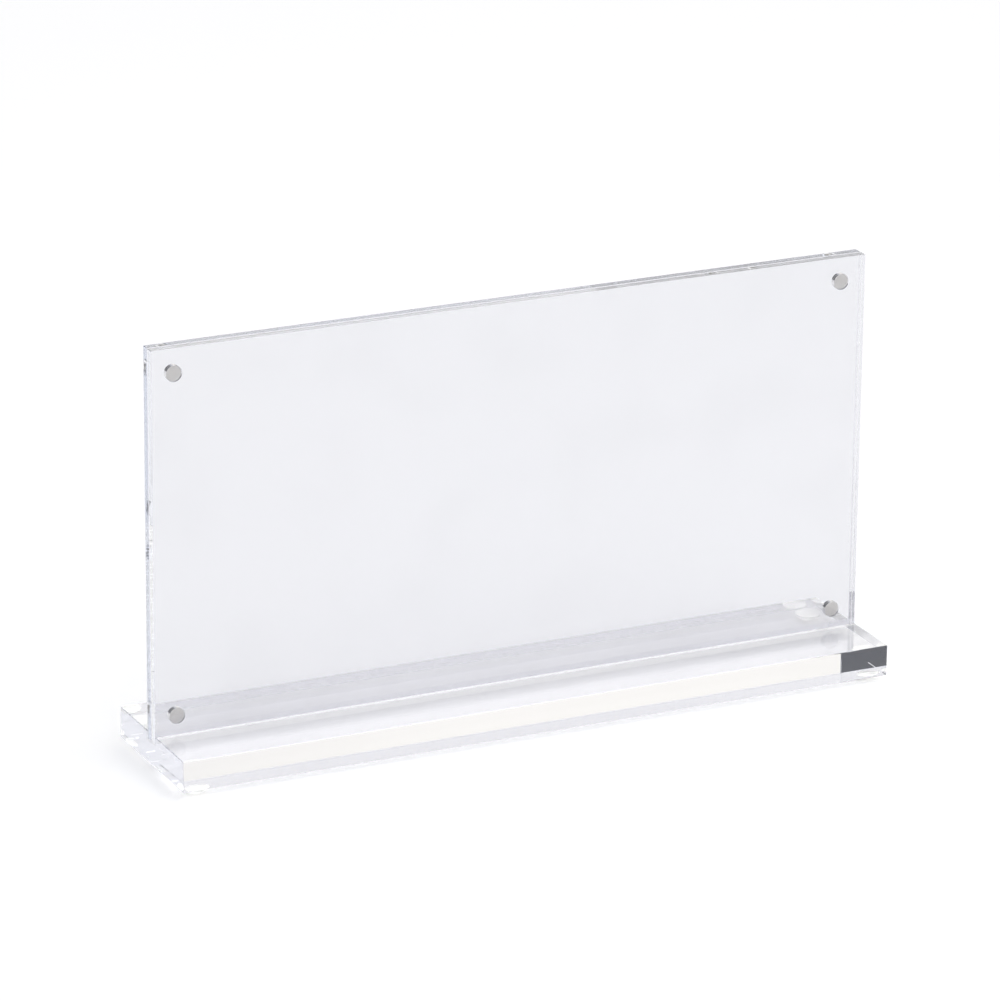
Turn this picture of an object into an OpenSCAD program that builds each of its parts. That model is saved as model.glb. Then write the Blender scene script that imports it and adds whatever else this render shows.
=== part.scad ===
// Clear acrylic picture stand. A thick base has a shallow slot along its whole
// width, and two thin panels stand in it face to face with the picture between
// them. Pairs of disc magnets let into the panels' corners hold them together,
// and four stick-on bumper feet carry the base.
//
// Millimetres, +Z up. The origin is under the middle of the base, on the surface
// that the feet stand on. The front faces -Y.

/* [Base] */
// Width of the base and of both panels
base_w = 240; // [180:1:320]
// Depth of the base from front to back
base_d = 50; // [36:1:80]
// Thickness of the base plate
base_h = 10; // [8:0.5:16]
// Chamfer that breaks the edges of the base
base_chamfer = 0.15; // [0.1:0.05:0.6]

/* [Slot] */
// Depth of the slot that both panels stand in
slot_depth = 2.4; // [2:0.1:5]
// Clearance between the panels and each wall of the slot
slot_clearance = 0.1; // [0.05:0.05:0.2]

/* [Panels] */
// Height of each panel, including the part inside the slot
panel_h = 125; // [90:1:200]
// Thickness of each panel
panel_t = 3; // [3:0.5:5]
// Gap between the panels, which takes the picture
picture_gap = 0.3; // [0.2:0.05:0.5]
// Chamfer that breaks the edges of the panels
panel_chamfer = 0.1; // [0.1:0.05:0.4]

/* [Magnets] */
// Diameter of each disc magnet
magnet_d = 5; // [3:0.5:6]
// Thickness of each disc magnet
magnet_t = 1; // [1:0.25:2.5]
// Radial clearance between a magnet and its blind bore
magnet_clearance = 0.1; // [0.05:0.05:0.25]
// Distance of the magnets' centres from the panels' ends
magnet_end_inset = 7.7; // [6:0.1:20]
// Distance of the upper magnets' centres from the top edge
magnet_top_inset = 8.3; // [6:0.1:20]
// Distance of the lower magnets' centres from the bottom edge
magnet_bottom_inset = 7.8; // [7.8:0.1:20]

/* [Feet] */
// Diameter of each bumper foot
foot_d = 8; // [6:0.5:12]
// Height of each foot, including its adhesive film
foot_h = 2.2; // [1.5:0.1:3]
// Diameter of the flat under each foot's dome
foot_flat_d = 2.4; // [1:0.2:4]
// Thickness of the adhesive film on top of each foot
adhesive_t = 0.1; // [0.05:0.05:0.2]
// Nominal distance from a foot's rim to the end and the long side of the base
foot_edge_gap = 1; // [1:0.5:10]

/* [Hidden] */
$fn = 96;
// Extra length of a cutting shape past the face that it opens
cut = 1;
// Film of air or glue where a flat piece sits on the bottom of its recess
seat_film = 0.05;
// A magnet's rounded rim, and how far it sits below the panel's inner face
magnet_rim = 0.3;
magnet_recess = 0.05;

base_bottom = foot_h;
base_top = base_bottom + base_h;
slot_floor = base_top - slot_depth;
panels_t = 2 * panel_t + picture_gap;
slot_w = panels_t + 2 * slot_clearance;
panel_bottom = slot_floor + seat_film;
bore_d = magnet_d + 2 * magnet_clearance;
bore_depth = magnet_recess + magnet_t + seat_film;
magnet_x = base_w / 2 - magnet_end_inset;
magnet_low_z = panel_bottom + magnet_bottom_inset;
magnet_high_z = panel_bottom + panel_h - magnet_top_inset;
foot_inset = foot_edge_gap + foot_d / 2;

// Corners of a panel: name, place along X, height
PANEL_CORNERS = [
    ["top_left", -magnet_x, magnet_high_z],
    ["top_right", magnet_x, magnet_high_z],
    ["bottom_left", -magnet_x, magnet_low_z],
    ["bottom_right", magnet_x, magnet_low_z]
];

// Corners of the base: name, side along X, side along Y, and how far the foot,
// which is stuck on by hand, sits out from its nominal place along X and Y
BASE_CORNERS = [
    ["front_left", -1, -1, -0.5, 0.6],
    ["front_right", 1, -1, 0.5, -1.6],
    ["rear_left", -1, 1, 0.2, -0.4],
    ["rear_right", 1, 1, -0.3, 0.5]
];

// Rectangle centred on the origin with its four corners cut at 45 degrees
module chamfered_rectangle(x, y, chamfer) {
    hx = x / 2;
    hy = y / 2;
    polygon([
        [hx, hy - chamfer], [hx - chamfer, hy], [chamfer - hx, hy], [-hx, hy - chamfer],
        [-hx, chamfer - hy], [chamfer - hx, -hy], [hx - chamfer, -hy], [hx, chamfer - hy]
    ]);
}

// Plate centred on the origin with all of its twelve edges chamfered
module chamfered_plate(x, y, z, chamfer) {
    intersection() {
        translate([0, 0, -z / 2]) linear_extrude(z) chamfered_rectangle(x, y, chamfer);
        translate([0, y / 2, 0]) rotate([90, 0, 0]) linear_extrude(y) chamfered_rectangle(x, z, chamfer);
        translate([-x / 2, 0, 0]) rotate([90, 0, 90]) linear_extrude(x) chamfered_rectangle(y, z, chamfer);
    }
}

// Thick plate with the open-ended slot along the middle of its top face
module base() {
    color([0.93, 0.95, 0.96, 0.35])
        difference() {
            translate([0, 0, base_bottom + base_h / 2])
                chamfered_plate(base_w, base_d, base_h, base_chamfer);
            translate([-base_w / 2 - cut, -slot_w / 2, slot_floor])
                cube([base_w + 2 * cut, slot_w, slot_depth + cut]);
        }
}

// The front panel, drilled from its inner face for the four magnets
module panel() {
    color([0.92, 0.93, 0.96, 0.3])
        difference() {
            translate([0, -(picture_gap + panel_t) / 2, panel_bottom + panel_h / 2])
                chamfered_plate(base_w, panel_t, panel_h, panel_chamfer);
            for (c = PANEL_CORNERS)
                translate([c[1], -picture_gap / 2 - bore_depth, c[2]])
                    rotate([-90, 0, 0])
                        cylinder(h = bore_depth + cut, d = bore_d);
        }
}

// Disc magnet in one corner of the front panel, with its plated rim rounded off
module magnet(corner) {
    color([0.74, 0.73, 0.71])
        translate([corner[1], -picture_gap / 2 - magnet_recess, corner[2]])
            rotate([90, 0, 0])
                rotate_extrude()
                    intersection() {
                        square([magnet_d / 2, magnet_t]);
                        translate([0, magnet_t / 2])
                            chamfered_rectangle(magnet_d, magnet_t, magnet_rim);
                    }
}

// Both panels and their magnets are alike, and the rear ones face the front ones
module rear_side() {
    mirror([0, 1, 0]) children();
}

// Puts its children at the foot's place under one corner of the base
module at_foot(corner) {
    foot_x = base_w / 2 - foot_inset + corner[3];
    foot_y = base_d / 2 - foot_inset + corner[4];
    translate([corner[1] * foot_x, corner[2] * foot_y, 0]) children();
}

// Soft domed bumper: part of a ball, cut flat where it stands and where it sticks on
module foot(corner) {
    dome_h = foot_h - adhesive_t;
    flat_r = foot_flat_d / 2;
    ball_z = (pow(foot_d / 2, 2) - pow(flat_r, 2) + pow(dome_h, 2)) / (2 * dome_h);
    ball_r = norm([flat_r, ball_z]);
    color([0.86, 0.88, 0.88, 0.6])
        at_foot(corner)
            intersection() {
                translate([0, 0, ball_z]) sphere(r = ball_r);
                cylinder(h = dome_h, d = foot_d + 2 * cut);
            }
}

// Thin disc of clear adhesive between a foot and the base
module foot_adhesive(corner) {
    color([0.95, 0.95, 0.93, 0.6])
        at_foot(corner)
            translate([0, 0, foot_h - adhesive_t]) cylinder(h = adhesive_t, d = foot_d);
}

base();
rear_side() panel();  // rear_panel
panel();  // front_panel
for (c = PANEL_CORNERS) {
    rear_side() magnet(c);
    magnet(c);
}
for (c = BASE_CORNERS) {
    foot(c);
    foot_adhesive(c);
}
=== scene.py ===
"""Clear acrylic picture stand.

Adds materials, small turned pieces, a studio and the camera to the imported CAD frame. Lengths are in metres.
"""

import math

import bmesh
import bpy
from mathutils import Matrix, Vector


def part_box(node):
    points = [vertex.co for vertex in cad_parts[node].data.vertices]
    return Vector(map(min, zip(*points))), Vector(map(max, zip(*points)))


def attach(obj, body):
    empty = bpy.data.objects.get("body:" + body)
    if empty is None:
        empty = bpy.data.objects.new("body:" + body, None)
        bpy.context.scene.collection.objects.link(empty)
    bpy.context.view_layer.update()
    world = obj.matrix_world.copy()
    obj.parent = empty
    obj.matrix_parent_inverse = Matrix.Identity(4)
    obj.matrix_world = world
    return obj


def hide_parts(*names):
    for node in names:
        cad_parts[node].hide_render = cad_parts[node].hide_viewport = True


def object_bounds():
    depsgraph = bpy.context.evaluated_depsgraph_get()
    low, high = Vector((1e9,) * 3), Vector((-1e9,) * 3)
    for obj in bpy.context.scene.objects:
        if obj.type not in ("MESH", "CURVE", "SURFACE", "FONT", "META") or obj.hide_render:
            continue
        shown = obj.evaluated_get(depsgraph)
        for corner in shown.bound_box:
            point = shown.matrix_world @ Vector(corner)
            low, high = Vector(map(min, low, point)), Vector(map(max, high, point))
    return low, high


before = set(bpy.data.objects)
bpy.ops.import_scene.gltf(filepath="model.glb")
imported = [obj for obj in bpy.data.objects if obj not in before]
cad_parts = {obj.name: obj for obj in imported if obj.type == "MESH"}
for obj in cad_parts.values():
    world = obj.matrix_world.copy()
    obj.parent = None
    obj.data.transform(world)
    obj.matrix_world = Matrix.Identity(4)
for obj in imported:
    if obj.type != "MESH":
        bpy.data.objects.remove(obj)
CAD_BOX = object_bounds()
MM = 0.001

LOW, HIGH = (Vector(c) for c in CAD_BOX)
CENTRE = (LOW + HIGH) / 2
# The slot's floor lies just below the panels, and its walls just outside them
SLOT_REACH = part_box("rear_panel")[1][1] + 0.15 * MM
SLOT_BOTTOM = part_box("rear_panel")[0][2] - 0.15 * MM

# ---------------------------------------------------------------- camera
CAMERA_AZIMUTH = math.radians(25.6077)
CAMERA_ELEVATION = math.radians(19.5563)
CAMERA_ROLL = math.radians(0.5543)
CAMERA_DISTANCE = 1.8363
AIM_OFFSET = Vector((-5.40, -3.15, 4.385)) * MM
LENS = 215.81
SENSOR = 36


def add_camera():
    forward = Vector((
        math.sin(CAMERA_AZIMUTH) * math.cos(CAMERA_ELEVATION),
        math.cos(CAMERA_AZIMUTH) * math.cos(CAMERA_ELEVATION),
        -math.sin(CAMERA_ELEVATION),
    ))
    level_right = forward.cross(Vector((0, 0, 1))).normalized()
    level_up = level_right.cross(forward)
    right = level_right * math.cos(CAMERA_ROLL) + level_up * math.sin(CAMERA_ROLL)
    up = right.cross(forward)
    place = CENTRE + AIM_OFFSET - forward * CAMERA_DISTANCE
    data = bpy.data.cameras.new("camera")
    data.lens = LENS
    data.sensor_width = SENSOR
    data.clip_start = 0.01
    data.clip_end = 60
    camera = bpy.data.objects.new("camera", data)
    camera.matrix_world = Matrix.Translation(place) @ Matrix((right, up, -forward)).transposed().to_4x4()
    bpy.context.scene.collection.objects.link(camera)
    bpy.context.scene.camera = camera


# ---------------------------------------------------------------- node helpers
class Nodes:
    """Adds shader nodes to one material or world and links them."""

    def __init__(self, owner):
        owner.use_nodes = True
        self.tree = owner.node_tree
        self.tree.nodes.clear()

    def connect(self, value, socket):
        """Links another node's output to a socket, or sets the socket to a plain value."""
        if isinstance(value, bpy.types.NodeSocket):
            self.tree.links.new(value, socket)
        else:
            socket.default_value = value

    def add(self, kind, settings=None, **inputs):
        """A node of that kind. settings are its properties, and inputs go to its sockets.

        A socket is given by its name, with _ for a space, or by its number after a _.
        """
        node = self.tree.nodes.new("ShaderNode" + kind)
        for name, value in (settings or {}).items():
            setattr(node, name, value)
        for name, value in inputs.items():
            self.connect(value, node.inputs[int(name[1:]) if name[0] == "_" else name.replace("_", " ")])
        return node

    def math(self, operation, a, b=0.0, c=0.0):
        return self.add("Math", {"operation": operation}, _0=a, _1=b, _2=c).outputs[0]

    def ramp(self, value, low, high, to_low=0.0, to_high=1.0):
        """Smooth step of a value from one range to another."""
        return self.add(
            "MapRange", {"interpolation_type": "SMOOTHSTEP"},
            Value=value, From_Min=low, From_Max=high, To_Min=to_low, To_Max=to_high,
        ).outputs[0]

    def mix(self, factor, a, b, blend="MIX"):
        """Blend of two colours, each given as a plain colour or as another node's output."""
        node = self.add("Mix", {"data_type": "RGBA", "blend_type": blend}, _0=factor)
        for socket, value in ((node.inputs[6], a), (node.inputs[7], b)):
            self.connect((*value, 1) if isinstance(value, tuple) else value, socket)
        return node.outputs[2]

    def noise(self, vector, scale, detail=2.0):
        return self.add("TexNoise", Vector=vector, Scale=scale, Detail=detail).outputs[0]

    def output(self, shader, kind="Material"):
        self.tree.links.new(shader, self.add("Output" + kind).inputs[0])


# ---------------------------------------------------------------- studio
STUDIO_GREY = (0.66, 0.66, 0.67)
HORIZON_FADE = (0.02, 0.12)
# Each area of the studio: its colour, its direction as degrees round from straight behind the stand towards
# its right and degrees up, and the cosines of the angles from that direction between which it fades in
FRONT_AREA = ((1.08, 1.08, 1.10), (150, 25), (0.55, 0.85))
WALL_AREA = ((1.14, 1.12, 1.06), (44, 24), (0.70, 0.92))
CORNER_AREA = ((0.56, 0.59, 0.66), (-33, 30), (0.59, 0.84))
DOORWAY_AREA = ((0.105, 0.11, 0.125), (-33, 30), (0.78, 0.90))

FLOOR_REACH = 40.0
FLOOR_DULL = (0.93, 0.93, 0.93)
FLOOR_BRIGHT = (0.95, 0.95, 0.95)
FLOOR_GLOW = 0.18


def add_world():
    """Pale studio: bright in front to the right, cream wall behind and dark doorway behind to the left."""
    world = bpy.data.worlds.new("studio")
    n = Nodes(world)
    direction = n.add("TexCoord").outputs["Generated"]
    height = n.add("SeparateXYZ", Vector=direction).outputs[2]
    above_horizon = n.ramp(height, *HORIZON_FADE)
    colour = STUDIO_GREY
    for area in (FRONT_AREA, WALL_AREA, CORNER_AREA, DOORWAY_AREA):
        area_colour, (degrees_round, degrees_up), fade = area
        a, e = math.radians(degrees_round), math.radians(degrees_up)
        aim = (math.sin(a) * math.cos(e), math.cos(a) * math.cos(e), math.sin(e))
        cosine = n.add("VectorMath", {"operation": "DOT_PRODUCT"}, _0=direction, _1=aim).outputs["Value"]
        inside = n.ramp(cosine, *fade)
        # The cream wall ends at the horizon
        if area is WALL_AREA:
            inside = n.math("MULTIPLY", inside, above_horizon)
        colour = n.mix(inside, colour, area_colour)
    background = n.add("Background", Color=colour, Strength=1.0)
    n.output(background.outputs[0], "World")
    bpy.context.scene.world = world


def add_floor():
    """Wide pale floor that glows a little, for the photo's white ground."""
    r = FLOOR_REACH
    mesh = bpy.data.meshes.new("floor")
    mesh.from_pydata([(-r, -r, 0), (r, -r, 0), (r, r, 0), (-r, r, 0)], [], [(0, 1, 2, 3)])
    floor = bpy.data.objects.new("floor", mesh)
    bpy.context.scene.collection.objects.link(floor)
    material = bpy.data.materials.new("floor")
    n = Nodes(material)
    place = n.add("TexCoord").outputs["Object"]
    colour = n.mix(n.noise(place, scale=3.0), FLOOR_DULL, FLOOR_BRIGHT)
    surface = n.add(
        "BsdfPrincipled", Base_Color=colour, Roughness=0.9, Specular_IOR_Level=0.1,
        Emission_Color=(1.0, 1.0, 1.0, 1.0), Emission_Strength=FLOOR_GLOW,
    )
    n.output(surface.outputs[0])
    mesh.materials.append(material)


def add_light(name, place, size, watts):
    """Square softbox that points at the middle of the base."""
    data = bpy.data.lights.new(name, "AREA")
    data.shape = "SQUARE"
    data.size = size
    data.energy = watts
    light = bpy.data.objects.new(name, data)
    light.location = place
    light.rotation_euler = (-Vector(place)).to_track_quat("-Z", "Y").to_euler()
    bpy.context.scene.collection.objects.link(light)


# ---------------------------------------------------------------- materials
PLASTIC_IOR = 1.49
# The acrylic absorbs red most and blue least
ACRYLIC_DEPTH_COLOUR = (0.05, 0.17, 0.45, 1.0)
# How much light each kind of face passes, by colour
BASE_TINTS = {
    "cast": (0.905, 0.905, 0.924),
    "cut": (0.864, 0.861, 0.883),
    "darker_chamfer": (0.62, 0.63, 0.70),
    # The slot floor's tint is painted shade: it stands in for the shadow that its satin, mill-cut surface
    # casts
    "milled_painted_shade": (0.40, 0.40, 0.42),
}
PANEL_TINTS = {
    "cast": (0.915, 0.916, 0.930),
    "cut": (0.915, 0.916, 0.930),
    "darker_chamfer": (0.88, 0.88, 0.91),
}
HANDLED = (0.99, 0.99, 0.99)

NICKEL_DULL = (0.56, 0.545, 0.52)
NICKEL_BRIGHT = (0.68, 0.665, 0.64)
NICKEL_WORN = (0.82, 0.80, 0.77)


def acrylic_material(name, tints, cast_axis, absorbed):
    """Clear cast acrylic, with the axis (0 to 2) that its two cast faces look along; all other faces are cut.

    The chamfers pass less light than the faces. The floor of the slot, cut by a mill, passes least: a painted
    shade, whose dark tint stands in for the shadow its satin surface casts below it. The ends are polished
    not quite flat, and all faces have a faint film of handling marks. Light that travels far inside, from one
    end to the other, comes out darker and bluer.
    """
    material = bpy.data.materials.new(name)
    n = Nodes(material)
    place = n.add("TexCoord").outputs["Object"]
    normal = n.add("SeparateXYZ", Vector=n.add("NewGeometry").outputs["Normal"]).outputs
    along = [n.math("ABSOLUTE", normal[axis]) for axis in range(3)]

    clear = n.mix(n.ramp(along[cast_axis], 0.3, 0.6), tints["cut"], tints["cast"])
    # A chamfer looks along no axis
    flat = n.math("MAXIMUM", n.math("MAXIMUM", along[0], along[1]), along[2])
    # The chamfers are tinted darker than the faces, which draws thin dark lines along the edges
    clear = n.mix(n.ramp(flat, 0.75, 0.95), tints["darker_chamfer"], clear)
    # Painted shade: the floor of the slot passes much less light, which darkens the floor below it and the
    # view through it
    if "milled_painted_shade" in tints:
        at = n.add("SeparateXYZ", Vector=place).outputs
        in_slot = n.math("LESS_THAN", n.math("ABSOLUTE", at[1]), SLOT_REACH)
        in_slot = n.math("MULTIPLY", in_slot, n.math("GREATER_THAN", at[2], SLOT_BOTTOM))
        slot_floor = n.math("MULTIPLY", in_slot, n.math("GREATER_THAN", along[2], 0.5))
        clear = n.mix(slot_floor, clear, tints["milled_painted_shade"])
    marks = n.mix(n.ramp(n.noise(place, scale=30.0, detail=1.0), 0.45, 0.75), (1.0, 1.0, 1.0), HANDLED)
    colour = n.mix(1.0, clear, marks, blend="MULTIPLY")

    stretched = n.add("Mapping", Vector=place, Scale=(90.0, 90.0, 420.0)).outputs[0]
    wave = n.noise(stretched, scale=1.0, detail=1.0)
    end_face = n.ramp(along[0], 0.6, 0.9, 0.004, 1.0)
    height = n.math("MULTIPLY", wave, end_face)
    bump = n.add("Bump", Height=height, Strength=0.1, Distance=0.006 * MM).outputs[0]
    surface = n.add(
        "BsdfPrincipled", Base_Color=colour, Roughness=0.0, IOR=PLASTIC_IOR, Transmission_Weight=1.0,
        Normal=bump,
    )
    n.output(surface.outputs[0])
    inside = n.add("VolumeAbsorption", Color=ACRYLIC_DEPTH_COLOUR, Density=absorbed)
    n.tree.links.new(inside.outputs[0], n.tree.nodes["Material Output"].inputs["Volume"])
    return material


def nickel_material():
    """Satin nickel plate: fine grain, faint mottling and brighter worn rims."""
    material = bpy.data.materials.new("nickel_plate")
    n = Nodes(material)
    place = n.add("TexCoord").outputs["Object"]
    mottle = n.noise(place, scale=900.0, detail=4.0)
    grain = n.noise(place, scale=6000.0)
    worn = n.ramp(n.add("NewGeometry").outputs["Pointiness"], 0.52, 0.62)
    colour = n.mix(mottle, NICKEL_DULL, NICKEL_BRIGHT)
    colour = n.mix(worn, colour, NICKEL_WORN)
    rough = n.math("MULTIPLY_ADD", mottle, 0.18, 0.22)
    bump = n.add("Bump", Height=grain, Strength=0.25, Distance=0.03 * MM).outputs[0]
    surface = n.add("BsdfPrincipled", Base_Color=colour, Metallic=1.0, Roughness=rough, Normal=bump)
    n.output(surface.outputs[0])
    return material


def clear_soft_material(name, tint, dirt, speck_scale, roughness, milky, painted_glow):
    """Clear soft plastic, a little cloudy, with specks of dust or bubbles of air in it.

    milky is the share that is opaque. The glow is painted light: a faint light of its own, matched to the
    photo, that stands in for the floor's light coming up through the clear plastic.
    """
    material = bpy.data.materials.new(name)
    n = Nodes(material)
    place = n.add("TexCoord").outputs["Object"]
    cloud = n.noise(place, speck_scale / 5)
    specks = n.ramp(n.noise(place, speck_scale), 0.66, 0.74)
    colour = n.mix(specks, n.mix(cloud, tint, tuple(c * 0.98 for c in tint)), dirt)
    rough = n.math("MULTIPLY_ADD", cloud, roughness, roughness)
    bump = n.add("Bump", Height=cloud, Strength=0.1, Distance=0.05 * MM).outputs[0]
    # The emission is painted light, a glow that stands in for light from the floor coming through the clear
    # plastic
    surface = n.add(
        "BsdfPrincipled", Base_Color=colour, Roughness=rough, IOR=PLASTIC_IOR, Normal=bump,
        Transmission_Weight=1.0 - milky, Emission_Color=(1.0, 1.0, 0.98, 1.0), Emission_Strength=painted_glow,
    )
    n.output(surface.outputs[0])
    return material


def paint(node, material):
    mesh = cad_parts[node].data
    mesh.materials.clear()
    mesh.materials.append(material)


# ---------------------------------------------------------------- turned pieces
SEGMENTS = 96
# Nearer to the axis than this, a ring of points is a single point
ON_AXIS = 1e-9

MAGNET_RIM = 0.2 * MM
MAGNET_CROWN = 0.2 * MM
MAGNET_STEPS = 8

# How far stuck pieces reach into each other
WET = 0.02 * MM
FOOT_FLAT_RADIUS = 1.2 * MM
FOOT_LIP = 0.2 * MM
FOOT_FILLET = 0.1 * MM
FOOT_STEPS = 16
FILM_EDGE_BELOW = 0.03 * MM
FILM_EDGE_ABOVE = 0.05 * MM


def quarter_arc(centre, radius, steps):
    """Points of an arc in a profile, as (distance from the axis, height), from its top to its outer side."""
    angles = [math.pi / 2 * (1 - i / steps) for i in range(steps + 1)]
    return [(centre[0] + radius * math.cos(a), centre[1] + radius * math.sin(a)) for a in angles]


def turned(name, profile, axis_point, axis="Z"):
    """Solid of revolution. The profile starts and ends on the axis, and its heights run along the axis."""
    points, faces, rings = [], [], []
    for r, h in profile:
        start = len(points)
        count = 1 if r < ON_AXIS else SEGMENTS
        for i in range(count):
            turn = 2 * math.pi * i / SEGMENTS
            x, y = r * math.cos(turn), r * math.sin(turn)
            points.append((x, y, h) if axis == "Z" else (x, h, y))
        rings.append((start, count))
    for (a, na), (b, nb) in zip(rings, rings[1:]):
        for i in range(SEGMENTS):
            j = (i + 1) % SEGMENTS
            quad = [a + i % na, a + j % na, b + j % nb, b + i % nb]
            faces.append([v for k, v in enumerate(quad) if v not in quad[:k]])
    mesh = bpy.data.meshes.new(name)
    mesh.from_pydata([tuple(Vector(p) + axis_point) for p in points], [], faces)
    mesh.validate()
    bm = bmesh.new()
    bm.from_mesh(mesh)
    bmesh.ops.recalc_face_normals(bm, faces=bm.faces)
    bm.to_mesh(mesh)
    bm.free()
    mesh.shade_smooth()
    piece = bpy.data.objects.new(name, mesh)
    bpy.context.scene.collection.objects.link(piece)
    return piece


def add_magnet(node, body, material):
    """Plated disc magnet with rounded rims and slightly crowned faces, in the CAD magnet's place."""
    low, high = (Vector(c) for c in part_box(node))
    middle = (low + high) / 2
    radius = (high.x - low.x) / 2
    half = (high.y - low.y) / 2
    flat = radius - MAGNET_RIM
    shares = [i / MAGNET_STEPS for i in range(MAGNET_STEPS)]
    face = [(flat * share, half - MAGNET_CROWN * share ** 2) for share in shares]
    edge = quarter_arc((flat, half - MAGNET_CROWN - MAGNET_RIM), MAGNET_RIM, MAGNET_STEPS)
    profile = face + edge + [(r, -h) for r, h in reversed(face + edge)]
    piece = turned("disc_" + node, profile, middle, axis="Y")
    piece.data.materials.append(material)
    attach(piece, body)
    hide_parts(node)


def add_foot(corner, bumper, adhesive):
    """Domed bumper and its adhesive film.

    The film reaches a hair into the base, and the bumper into the film, so that light crosses from one to the
    next as it does where they are stuck together, with no film of air between them.
    """
    low, high = (Vector(c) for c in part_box("foot_" + corner))
    film_low, film_high = (Vector(c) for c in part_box("foot_adhesive_" + corner))
    axis = Vector(((low.x + high.x) / 2, (low.y + high.y) / 2, 0))

    radius = (high.x - low.x) / 2
    neck = radius - FOOT_FILLET
    dome_h = high.z - FOOT_LIP
    ball_z = (radius ** 2 - FOOT_FLAT_RADIUS ** 2 + dome_h ** 2) / (2 * dome_h)
    ball_r = math.hypot(FOOT_FLAT_RADIUS, ball_z)
    start, end = math.asin(FOOT_FLAT_RADIUS / ball_r), math.asin(neck / ball_r)
    angles = [start + (end - start) * i / FOOT_STEPS for i in range(FOOT_STEPS + 1)]
    dome = [(ball_r * math.sin(a), ball_z - ball_r * math.cos(a)) for a in angles]
    lip = [(radius, dome_h + FOOT_FILLET), (radius, high.z - FOOT_FILLET), (neck, high.z)]
    top = [(neck, high.z + WET), (0, high.z + WET)]
    foot = turned("bumper_" + corner, [(0, 0)] + dome + lip + top, axis)
    foot.data.materials.append(bumper)

    film_r = (film_high.x - film_low.x) / 2
    film_top = film_high.z + WET
    film_profile = [
        (0, film_low.z), (film_r - FILM_EDGE_BELOW, film_low.z), (film_r, film_low.z + FILM_EDGE_BELOW),
        (film_r, film_high.z), (film_r - FILM_EDGE_ABOVE, film_top), (0, film_top),
    ]
    film = turned("film_" + corner, film_profile, axis)
    film.data.materials.append(adhesive)

    for piece, node, slot in ((foot, "foot_", "clear_bumper"), (film, "foot_adhesive_", "clear_adhesive")):
        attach(piece, "base")
        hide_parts(node + corner)


# ---------------------------------------------------------------- scene
# Light crosses many clear faces before it reaches the camera, and none of it may be blurred
MAX_BOUNCES = 256

add_light("front_softbox", (0.12, -0.55, 1.45), size=1.4, watts=6.4)
add_light("rear_softbox", (0.5, 1.0, 1.3), size=0.8, watts=0.9)
scene = bpy.context.scene
scene.view_settings.view_transform = "Standard"
for kind in ("max_bounces", "transmission_bounces", "glossy_bounces"):
    setattr(scene.cycles, kind, MAX_BOUNCES)
scene.cycles.blur_glossy = 0.0
scene.cycles.transparent_max_bounces = 16
scene.cycles.diffuse_bounces = 2

add_camera()
add_world()
add_floor()

paint("base", acrylic_material("base_acrylic", BASE_TINTS, cast_axis=2, absorbed=0.35))
nickel = nickel_material()
# The rear panel, of the same acrylic as the front one, absorbs more: painted shade that makes the long paths
# seen at its ends come out darker
for side, absorbed in (("front", 0.4), ("rear", 1.3)):
    paint(side + "_panel", acrylic_material(side + "_acrylic", PANEL_TINTS, cast_axis=1, absorbed=absorbed))
    for corner in ("top_left", "top_right", "bottom_left", "bottom_right"):
        add_magnet(side + "_magnet_" + corner, side + "_panel", nickel)
# Both pieces of each foot carry a painted glow, painted light for the floor's light that comes through them
bumper = clear_soft_material(
    "clear_bumper", tint=(0.975, 0.98, 0.97), dirt=(0.80, 0.78, 0.74),
    speck_scale=2500.0, roughness=0.03, milky=0.2, painted_glow=0.03,
)
adhesive = clear_soft_material(
    "clear_adhesive", tint=(0.99, 0.985, 0.96), dirt=(0.93, 0.93, 0.90),
    speck_scale=4000.0, roughness=0.04, milky=0.5, painted_glow=0.22,
)
for corner in ("front_left", "front_right", "rear_left", "rear_right"):
    add_foot(corner, bumper, adhesive)
